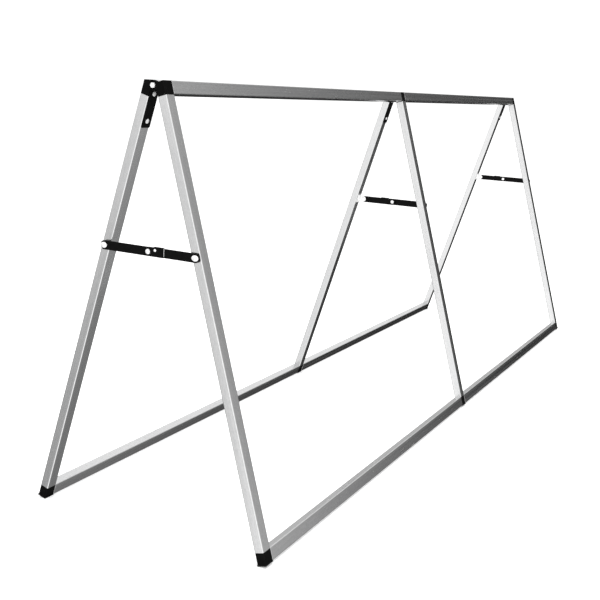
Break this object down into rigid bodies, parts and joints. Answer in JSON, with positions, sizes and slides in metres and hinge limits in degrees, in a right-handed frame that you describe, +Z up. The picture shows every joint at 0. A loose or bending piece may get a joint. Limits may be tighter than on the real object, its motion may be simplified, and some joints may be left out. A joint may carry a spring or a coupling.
{
  "type": "folding sign stand",
  "caption": "Long low A-frame banner stand of square aluminium tube with black connectors, hinged along the top and held open by folding flat-bar stays.",
  "frame": {"origin": "on the floor, midway between the two frames and the two ends", "axes": "+X along the rails from the left end to the right end, +Y from the front frame to the rear frame, +Z up"},
  "size_m": [2.5232, 0.6176, 0.9678],
  "materials": {
    "aluminium": "satin extruded",
    "black_plastic": "moulded, fine grain",
    "black_steel": "black powder coat",
    "bright_zinc": "bright zinc plate",
    "rubber": "matte"
  },
  "bodies": {
    "front_frame": {"front_bottom_corner_left": "black_plastic", "front_bottom_corner_right": "black_plastic", "front_bottom_rail_left": "aluminium", "front_bottom_rail_right": "aluminium", "front_bottom_tee": "black_plastic", "front_foot_pad_left": "rubber", "front_foot_pad_middle": "rubber", "front_foot_pad_right": "rubber", "front_leg_left": "aluminium", "front_leg_middle": "aluminium", "front_leg_right": "aluminium", "front_top_corner_left": "black_plastic", "front_top_corner_right": "black_plastic", "front_top_rail_left": "aluminium", "front_top_rail_right": "aluminium", "front_top_tee": "black_plastic", "hinge_bolt_left": "bright_zinc", "hinge_bolt_middle": "bright_zinc", "hinge_bolt_right": "bright_zinc", "hinge_nut_left": "bright_zinc", "hinge_nut_middle": "bright_zinc", "hinge_nut_right": "bright_zinc", "stay_left_front_rivet": "bright_zinc", "stay_middle_front_rivet": "bright_zinc", "stay_right_front_rivet": "bright_zinc"},
    "rear_frame": {"hinge_strap_left": "black_steel", "hinge_strap_middle": "black_steel", "hinge_strap_right": "black_steel", "rear_bottom_corner_left": "black_plastic", "rear_bottom_corner_right": "black_plastic", "rear_bottom_rail_left": "aluminium", "rear_bottom_rail_right": "aluminium", "rear_bottom_tee": "black_plastic", "rear_foot_pad_left": "rubber", "rear_foot_pad_middle": "rubber", "rear_foot_pad_right": "rubber", "rear_leg_left": "aluminium", "rear_leg_middle": "aluminium", "rear_leg_right": "aluminium", "rear_top_corner_left": "black_plastic", "rear_top_corner_right": "black_plastic", "rear_top_rail_left": "aluminium", "rear_top_rail_right": "aluminium", "rear_top_tee": "black_plastic", "stay_bracket_middle": "bright_zinc", "stay_bracket_right": "bright_zinc", "stay_left_rear_rivet": "bright_zinc", "stay_middle_rear_rivet": "bright_zinc", "stay_right_rear_rivet": "bright_zinc"},
    "left_front_bar": {"stay_left_front_bar": "black_steel"},
    "left_rear_bar": {"stay_left_rear_bar": "black_steel", "stay_left_middle_rivet": "bright_zinc"},
    "middle_front_bar": {"stay_middle_front_bar": "black_steel", "stay_middle_middle_rivet": "bright_zinc"},
    "middle_rear_bar": {"stay_middle_rear_bar": "black_steel"},
    "right_front_bar": {"stay_right_front_bar": "black_steel", "stay_right_middle_rivet": "bright_zinc"},
    "right_rear_bar": {"stay_right_rear_bar": "black_steel"}
  },
  "joints": [
    {"name": "fold", "type": "hinge", "parent": "front_frame", "child": "rear_frame", "pos_m": [0, 0, 0.95652], "axis": [-1, 0, 0], "range_deg": [0, 32.4]},
    {"name": "left_front_pivot", "type": "hinge", "parent": "front_frame", "child": "left_front_bar", "pos_m": [-1.25, -0.11522, 0.62049], "axis": [1, 0, 0], "range_deg": [0, 66]},
    {"name": "left_rear_pivot", "type": "hinge", "parent": "rear_frame", "child": "left_rear_bar", "pos_m": [-1.25, 0.11522, 0.62049], "axis": [-1, 0, 0], "range_deg": [0, 66]},
    {"name": "middle_front_pivot", "type": "hinge", "parent": "front_frame", "child": "middle_front_bar", "pos_m": [0.014, -0.11522, 0.62049], "axis": [1, 0, 0], "range_deg": [0, 69.3]},
    {"name": "middle_rear_pivot", "type": "hinge", "parent": "rear_frame", "child": "middle_rear_bar", "pos_m": [0.014, 0.09359, 0.62049], "axis": [-1, 0, 0], "range_deg": [0, 72.5]},
    {"name": "right_front_pivot", "type": "hinge", "parent": "front_frame", "child": "right_front_bar", "pos_m": [1.25, -0.11522, 0.62049], "axis": [1, 0, 0], "range_deg": [0, 69.3]},
    {"name": "right_rear_pivot", "type": "hinge", "parent": "rear_frame", "child": "right_rear_bar", "pos_m": [1.25, 0.09359, 0.62049], "axis": [-1, 0, 0], "range_deg": [0, 72.5]}
  ],
  "couplings": [
    {"joint": "left_front_pivot", "follows": "fold", "ratio": 2.0175},
    {"joint": "left_rear_pivot", "follows": "fold", "ratio": 2.0175},
    {"joint": "middle_front_pivot", "follows": "fold", "ratio": 2.1186},
    {"joint": "middle_rear_pivot", "follows": "fold", "ratio": 2.2193},
    {"joint": "right_front_pivot", "follows": "fold", "ratio": 2.1186},
    {"joint": "right_rear_pivot", "follows": "fold", "ratio": 2.2193}
  ]
}
